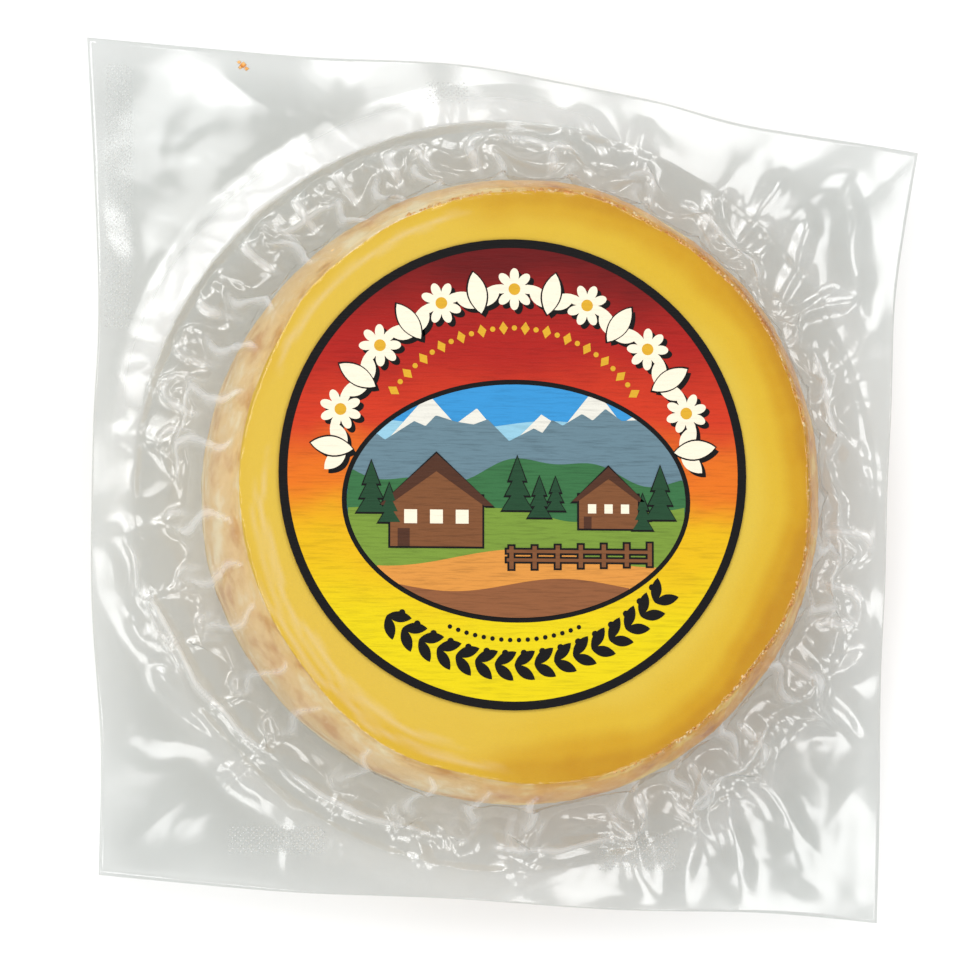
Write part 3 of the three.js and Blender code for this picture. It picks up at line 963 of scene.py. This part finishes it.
def chalet(x, foot, width, height):
    """A wooden house seen from its gable: its walls, its roof with the door, and its windows."""
    wall = box_shape(x - width / 2, foot, width, 0.62 * height)
    eaves_height = foot + 0.6 * height
    gable = np.array(((x - width / 2, eaves_height), (x + width / 2, eaves_height), (x, foot + height)))
    eaves = 0.62 * width
    roof = np.array((
        (x - eaves, foot + 0.5 * height), (x - 0.52 * width, foot + 0.5 * height), (x, foot + 0.92 * height),
        (x + 0.52 * width, foot + 0.5 * height), (x + eaves, foot + 0.5 * height), (x, foot + 1.14 * height),
    ))
    lefts = [x + side * width * 0.28 - 0.07 * width for side in (-1, 0, 1)]
    windows = [box_shape(left, foot + 0.28 * height, 0.14 * width, 0.17 * height) for left in lefts]
    door = box_shape(x - 0.42 * width, foot, 0.13 * width, 0.22 * height)
    return [wall, gable], [roof, door], windows


def panel_grounds():
    """The grounds of the picture from back to front: the piece's name, its outline, its ink's name and
    colour, and how streaked the ink is."""
    below = wavy(-40)
    return (
        ("panel_sky", ellipse(PANEL_MIDDLE, PANEL_SIZE), "ink_sky", (52, 138, 196), 0.3),
        ("panel_haze", panel_strip(below, wavy(9.0, (0.8, 33, 0.3))), "ink_haze", (138, 186, 206), 0.3),
        ("panel_snow", panel_strip(below, zigzag(PEAKS)), "ink_snow", (216, 214, 204), 0.3),
        ("panel_peaks", panel_strip(below, zigzag(SNOW)), "ink_stone", (96, 122, 134), 0.5),
        ("panel_hill", panel_strip(below, wavy(0.5, (2.2, 46, 0.8), (0.8, 17, 2.0))), "ink_green",
         (52, 104, 62), 0.5),
        ("panel_meadow", panel_strip(below, wavy(-6.5, (1.8, 58, 3.4), (0.5, 19, 1.0))), "ink_grass",
         (112, 140, 52), 0.5),
        ("panel_field", panel_strip(below, wavy(-15.5, (1.6, 50, 1.4))), "ink_straw", (206, 138, 62), 0.5),
        ("panel_path", panel_strip(below, wavy(-20.5, (1.2, 40, 0.2))), "ink_earth", (134, 84, 52), 0.5),
    )


def panel_picture():
    """The picture: peaks, hills, a meadow with firs and two wooden houses, and a fenced field in front. Gives
    the black ink."""
    walls, roofs, windows = chalet(-14.5, -13.5, 17, 15)
    far_walls, far_roofs, far_windows = chalet(17.5, -10, 11, 10)
    firs = [tier for x, foot, height in FIRS for tier in fir(x, foot, height)]
    posts = [box_shape(x, -17.6 + 0.03 * abs(x), 0.8, 4.2) for x in np.arange(-1, 27, 4.3)]
    rails = [box_shape(-1.5, low, 27, 0.6) for low in (-16.2, -14.6)]
    black = ink_material("ink_black", (9, 7, 8), 0.1)
    print_plates("panel_line", [ellipse(PANEL_MIDDLE, PANEL_SIZE + PANEL_LINE)], 1, black)
    for layer, (name, outline, ink, colour, share) in enumerate(panel_grounds(), 2):
        print_plates(name, [outline], layer, ink_material(ink, colour, share))
    dark = [*walls, *roofs, *far_walls, *far_roofs, *posts, *rails]
    print_plates("picture_lines", outlined([*dark, *firs], 0.35), 10, black)
    wood = ink_material("ink_wood", (118, 74, 44), 0.5)
    print_plates("picture_walls", [*walls, *far_walls, *posts, *rails], 11, wood)
    print_plates("picture_roofs", [*roofs, *far_roofs], 12, ink_material("ink_roof", (74, 44, 30), 0.4))
    cream = ink_material("ink_cream", (232, 222, 200), 0.15)
    print_plates("picture_windows", [*windows, *far_windows], 13, cream)
    print_plates("picture_firs", firs, 12, ink_material("ink_fir", (30, 66, 42), 0.4))
    return black


def label_print():
    """The label's print: a black rim, the picture panel, and rows of ornaments. The ornaments over the panel
    have a black shadow to the lower right."""
    black = panel_picture()
    cream = bpy.data.materials["ink_cream"]
    rim = ellipse((0, 0), (RIM_RADIUS, RIM_RADIUS), RIM_SIDES)
    hole = ellipse((0, 0), (RIM_RADIUS - RIM_WIDTH, RIM_RADIUS - RIM_WIDTH), RIM_SIDES)
    segments = list(np.stack([rim, np.roll(rim, -1, axis=0), np.roll(hole, -1, axis=0), hole], axis=1))
    print_plates("print_rim", segments, 1, black)
    lower, upper = ornaments()
    print_plates("ornament_shadows", [shape + (0.75, -0.75) for shape in lower + upper], 1, black)
    print_plates("ornaments", lower, 3, cream)
    print_plates("leaf_outlines", outlined(upper, 0.3), 4, black)
    print_plates("leaves", upper, 5, cream)
    flowers = ORNAMENT_DIRECTIONS[1::2]
    hearts = [ellipse(on_arc(ORNAMENT_RADIUS, degrees), (1.1, 1.1), 16) for degrees in flowers]
    gold = ink_material("ink_gold", (206, 158, 40), 0.2)
    print_plates("ornament_hearts", hearts, 4, gold)
    print_plates("small_row", small_row(), 2, gold)
    print_plates("garland", garland(), 2, black)


# Materials

def new_material(name):
    """A new material's node tree with only its output node in it."""
    material = bpy.data.materials.new(name)
    material.use_nodes = True
    tree = material.node_tree
    tree.nodes.clear()
    tree.nodes.new("ShaderNodeOutputMaterial")
    return material


def add(material, kind, inputs=None, **settings):
    """A node of a kind, with settings on the node, and with each input set to a value or linked to a
    socket."""
    tree = material.node_tree
    node = tree.nodes.new("ShaderNode" + kind)
    for name, value in settings.items():
        setattr(node, name, value)
    for name, value in (inputs or {}).items():
        if isinstance(value, bpy.types.NodeSocket):
            tree.links.new(value, node.inputs[name])
        else:
            node.inputs[name].default_value = value
    return node


def show(material, socket):
    """Links a shader to the material's output."""
    output = next(node for node in material.node_tree.nodes if node.type == "OUTPUT_MATERIAL")
    material.node_tree.links.new(socket, output.inputs["Surface"])


def object_place(material):
    """Where a point is on the piece, in metres."""
    return add(material, "TexCoord").outputs["Object"]


def math(material, operation, a, b=0.0, c=0.0):
    """A number worked out from others by one operation."""
    return add(material, "Math", {0: a, 1: b, 2: c}, operation=operation).outputs[0]


def noise(material, place, scale, detail=4.0, roughness=0.5):
    """Noise with its scale given as the size of a feature in millimetres."""
    node = add(material, "TexNoise", {"Vector": place, "Scale": 1 / (scale * MM), "Detail": detail,
                                      "Roughness": roughness})
    return node.outputs["Fac"]


def ramp(material, value, stops, interpolation="EASE"):
    """A colour ramp with stops of (place, colour)."""
    node = add(material, "ValToRGB", {"Fac": value})
    node.color_ramp.interpolation = interpolation
    elements = node.color_ramp.elements
    elements.remove(elements[1])
    elements[0].position, elements[0].color = stops[0]
    for place, colour in stops[1:]:
        elements.new(place).color = colour
    return node.outputs["Color"]


def mix(material, share, a, b, blend="MIX"):
    """The first colour with a share of the second mixed or multiplied in."""
    node = add(material, "Mix", data_type="RGBA", blend_type=blend)
    for index, value in ((0, share), (6, a), (7, b)):
        if isinstance(value, bpy.types.NodeSocket):
            material.node_tree.links.new(value, node.inputs[index])
        else:
            node.inputs[index].default_value = value
    return node.outputs[2]


def film_material():
    """Clear film: a grey see-through sheet that mirrors more at a slant, and is milky, and white on its
    creases, partly crease whitening and partly painted highlight. The share that mirrors is the shine plus
    0.4 of the fifth power of how far the film faces away."""
    film = new_material("clear_film")
    facing = add(film, "LayerWeight", {"Blend": 0.5}).outputs["Facing"]
    gloss = add(film, "BsdfPrincipled", {
        "Base Color": (0.95, 0.95, 0.95, 1), "Metallic": 1.0, "Roughness": 0.16,
    })
    clear = add(film, "BsdfTransparent", {"Color": (0.83, 0.842, 0.834, 1)})
    shine = add(film, "Attribute", attribute_name="shine").outputs["Fac"]
    share = math(film, "MULTIPLY_ADD", math(film, "POWER", facing, 5), 0.4, shine)
    sheet = add(film, "MixShader", {"Fac": share, 1: clear.outputs[0], 2: gloss.outputs[0]})
    # white: the milk, the whitening of the creases, and painted highlight
    white = add(film, "BsdfDiffuse", {"Color": (0.93, 0.93, 0.92, 1)})
    milk_and_painted_highlight = add(film, "Attribute", attribute_name="milk_and_painted_highlight").outputs["Fac"]
    whole = add(film, "MixShader", {"Fac": milk_and_painted_highlight, 1: sheet.outputs[0], 2: white.outputs[0]})
    show(film, whole.outputs[0])
    return film


def paste_colour(cheese, place, blotches, side):
    """The paste's colour: pale, and golden towards its rim on the golden side, with a fine mottle."""
    middle = add(cheese, "Mapping", {"Vector": place, "Location": (0.0015, -0.0005, 0.0), "Scale": (1, 1, 0)})
    length = add(cheese, "VectorMath", {0: middle.outputs[0]}, operation="LENGTH").outputs["Value"]
    spread = math(cheese, "MULTIPLY", math(cheese, "SUBTRACT", blotches, 0.5), 0.009)
    rim = math(cheese, "DIVIDE", math(cheese, "ADD", length, spread), 0.0545)
    pale = ramp(cheese, rim, (
        (0.60, srgb(241, 205, 84)), (0.90, srgb(240, 199, 74)), (0.985, srgb(234, 186, 52)),
    ))
    golden = ramp(cheese, rim, (
        (0.76, srgb(243, 205, 74)), (0.87, srgb(238, 192, 46)),
        (0.94, srgb(222, 162, 14)), (0.985, srgb(206, 140, 6)),
    ))
    paste = mix(cheese, side, pale, golden)
    mottle = noise(cheese, place, 3.5, 3, 0.6)
    return mix(cheese, math(cheese, "MULTIPLY", mottle, 0.25), paste, srgb(246, 210, 60))


def rind_colour(cheese, place, rind_noise, side):
    """The rind's colour: orange-brown to pale, more golden on the golden side, with pale specks."""
    rind = ramp(cheese, rind_noise, (
        (0.30, srgb(224, 166, 92)), (0.5, srgb(246, 206, 138)), (0.70, srgb(254, 232, 186)),
    ))
    golden = ramp(cheese, rind_noise, (
        (0.30, srgb(208, 128, 30)), (0.5, srgb(236, 168, 54)), (0.68, srgb(252, 212, 118)),
    ))
    rind = mix(cheese, side, rind, golden)
    speck = ramp(cheese, noise(cheese, place, 1.1, 2), ((0.62, (0, 0, 0, 1)), (0.8, (0.6, 0.6, 0.6, 1))))
    return mix(cheese, speck, rind, srgb(252, 222, 176))


def cheese_material():
    """Cheese paste inside its rind, with a border that is uneven by the rind's noise. The golden side is the
    right one, blended into the pale left one over blotches."""
    cheese = new_material("cheese")
    place = object_place(cheese)
    blotches = noise(cheese, place, 26, 2)
    across = add(cheese, "SeparateXYZ", {0: place}).outputs["X"]
    side = math(cheese, "ADD", math(cheese, "DIVIDE", across, 0.1), math(cheese, "MULTIPLY", blotches, 0.5))
    side = math(cheese, "ADD", side, 0.22)
    side = ramp(cheese, side, ((0.2, (0, 0, 0, 1)), (0.75, (1, 1, 1, 1))))
    rind_noise = noise(cheese, place, 8, 3, 0.55)
    inwards = add(cheese, "Attribute", attribute_name="rind").outputs["Fac"]
    uneven = math(cheese, "MULTIPLY", math(cheese, "SUBTRACT", rind_noise, 0.5), 0.5)
    border = ramp(cheese, math(cheese, "ADD", inwards, uneven), ((0.35, (0, 0, 0, 1)), (0.6, (1, 1, 1, 1))))
    paste = paste_colour(cheese, place, blotches, side)
    colour = mix(cheese, border, paste, rind_colour(cheese, place, rind_noise, side))
    relief = add(cheese, "Bump", {
        "Height": noise(cheese, place, 1.6, 3, 0.7), "Strength": 0.5, "Distance": 0.0004,
    })
    body = add(cheese, "BsdfPrincipled", {
        "Base Color": colour, "Roughness": 0.5, "Specular IOR Level": 0.15,
        "Normal": relief.outputs["Normal"],
    })
    show(cheese, body.outputs[0])
    return cheese


def hatch_material():
    """Milky film, where the sealing bars have pressed it."""
    hatch = new_material("seal_hatch")
    clear = add(hatch, "BsdfTransparent", {"Color": (1, 1, 1, 1)})
    white = add(hatch, "BsdfDiffuse", {"Color": (0.93, 0.93, 0.92, 1)})
    sheet = add(hatch, "MixShader", {"Fac": 0.2, 1: clear.outputs[0], 2: white.outputs[0]})
    show(hatch, sheet.outputs[0])
    return hatch


def crumb_material():
    """Dry crumbs of rind, from orange to pale."""
    crumbs = new_material("crumbs")
    place = object_place(crumbs)
    colour = ramp(crumbs, noise(crumbs, place, 1.5, 2), (
        (0.35, srgb(226, 150, 70)), (0.5, srgb(244, 186, 110)), (0.65, srgb(252, 224, 170)),
    ))
    body = add(crumbs, "BsdfPrincipled", {"Base Color": colour, "Roughness": 0.6})
    show(crumbs, body.outputs[0])
    return crumbs


def paper_grain(material):
    """The bump of linen paper: fine threads that run across the label at a slant."""
    place = object_place(material)
    drawn = add(material, "Mapping", {"Vector": place, "Scale": (0.35, 2.4, 1.0), "Rotation": (0, 0, 0.35)})
    threads = noise(material, drawn.outputs[0], 0.7, 1, 0.6)
    return add(material, "Bump", {"Height": threads, "Strength": 0.5, "Distance": 0.0002}).outputs["Normal"]


def streaked(material, colour, share=0.35):
    """A colour broken by darker streaks that run across the label at a slant, like brushed ink."""
    place = object_place(material)
    drawn = add(material, "Mapping", {"Vector": place, "Scale": (0.22, 3.0, 1.0), "Rotation": (0, 0, 0.35)})
    streaks = ramp(material, noise(material, drawn.outputs[0], 1.3, 3, 0.65), (
        (0.42, (1, 1, 1, 1)), (0.75, (0.45, 0.45, 0.45, 1)),
    ))
    return mix(material, share, colour, streaks, "MULTIPLY")


def printed(material, colour):
    """Shows satin ink of a colour on linen paper."""
    body = add(material, "BsdfPrincipled", {
        "Base Color": colour, "Roughness": 0.5, "Specular IOR Level": 0.15, "Normal": paper_grain(material),
    })
    show(material, body.outputs[0])
    return material


def ground_material():
    """The label's ground, from dark red at the top to yellow at the bottom, with a dark edge outside."""
    paper = new_material("label_ground")
    place = object_place(paper)
    along = add(paper, "SeparateXYZ", {0: place}).outputs["Y"]
    share = math(paper, "ADD", math(paper, "DIVIDE", along, 0.09), 0.48)
    wobble = math(paper, "MULTIPLY", math(paper, "SUBTRACT", noise(paper, place, 14, 2), 0.5), 0.12)
    ground = ramp(paper, math(paper, "ADD", share, wobble), (
        (0.16, srgb(216, 194, 8)), (0.36, srgb(214, 170, 14)), (0.50, srgb(212, 106, 24)),
        (0.62, srgb(192, 52, 26)), (0.78, srgb(160, 28, 22)), (0.95, srgb(96, 14, 16)),
    ))
    middle = add(paper, "Mapping", {
        "Vector": place, "Location": (-LABEL_CENTRE[0] * MM, -LABEL_CENTRE[1] * MM, 0), "Scale": (1, 1, 0),
    })
    radius = add(paper, "VectorMath", {0: middle.outputs[0]}, operation="LENGTH").outputs["Value"]
    bare = math(paper, "GREATER_THAN", radius, RIM_RADIUS * MM)
    return printed(paper, mix(paper, bare, streaked(paper, ground), srgb(40, 32, 28)))


def ink_material(name, colour, share=0.3):
    """Ink of one colour, and how strong its streaks are."""
    ink = new_material(name)
    return printed(ink, streaked(ink, srgb(*colour), share))


def floor_material():
    """Plain pale paint without gloss."""
    floor = new_material("floor")
    body = add(floor, "BsdfDiffuse", {"Color": (0.9, 0.9, 0.9, 1)})
    show(floor, body.outputs[0])
    return floor


# Floor, light and camera

AIM = Vector((-5.1, 1.6, 16.0)) * MM
VIEW = Vector((-0.138, -0.075, 0.988)).normalized()
DISTANCE = 0.7
FRAME_MM = 971 * 0.19  # the photo's height in pixels, and millimetres a pixel
RING_LIGHTS = 8


def make_camera():
    """A long lens almost straight above, leaning a little towards the left and the lower edge."""
    data = bpy.data.cameras.new("camera")
    data.sensor_width = 36
    data.lens = 36 * DISTANCE / (FRAME_MM * MM)
    camera = bpy.data.objects.new("camera", data)
    right = Vector((0, 1, 0)).cross(VIEW).normalized()
    up = VIEW.cross(right)
    turn = Matrix((right, up, VIEW)).transposed().to_4x4()
    camera.matrix_world = Matrix.Translation(AIM + VIEW * DISTANCE) @ turn
    bpy.context.scene.collection.objects.link(camera)
    bpy.context.scene.camera = camera


def softbox(name, direction, distance, size, power):
    """A square soft light that faces the pack."""
    data = bpy.data.lights.new(name, "AREA")
    data.shape = "RECTANGLE"
    data.size, data.size_y = size
    data.energy = power
    light = bpy.data.objects.new(name, data)
    way = Vector(direction).normalized()
    light.matrix_world = Matrix.Translation(way * distance) @ way.to_track_quat("Z", "Y").to_matrix().to_4x4()
    bpy.context.scene.collection.objects.link(light)


def make_stage():
    """The plain floor, the white surroundings, and the soft lights: one from the upper left, a low one at the
    lower left, and a ring of small ones."""
    bpy.ops.mesh.primitive_plane_add(size=6, location=(0, 0, -0.0002))
    floor = bpy.context.object
    floor.name = "floor"
    floor.data.materials.append(floor_material())
    world = bpy.data.worlds.new("studio")
    world.use_nodes = True
    background = world.node_tree.nodes["Background"]
    background.inputs["Color"].default_value = (1, 1, 1, 1)
    background.inputs["Strength"].default_value = 0.5
    bpy.context.scene.world = world
    bpy.context.scene.view_settings.view_transform = "Standard"
    softbox("key_light", (-0.36, 0.48, 0.85), 1.1, (0.6, 0.5), 2.6)
    softbox("low_light", (-0.8, -0.5, 0.3), 1.1, (0.7, 0.25), 1.3)
    for n in range(RING_LIGHTS):
        turn = 2 * np.pi * (n + 0.4) / RING_LIGHTS
        way = (0.62 * np.cos(turn), 0.62 * np.sin(turn), 0.78)
        softbox(f"ring_light_{n}", way, 1.1, (0.3, 0.3), 1.3)


make_camera()
make_stage()
upper = film_piece(film_material())
wheel_piece(cheese_material())
crumbs_piece(upper, crumb_material())
hatch_piece(upper, hatch_material())
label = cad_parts["label"]
label.data.materials.clear()
label.data.materials.append(ground_material())
label_print()
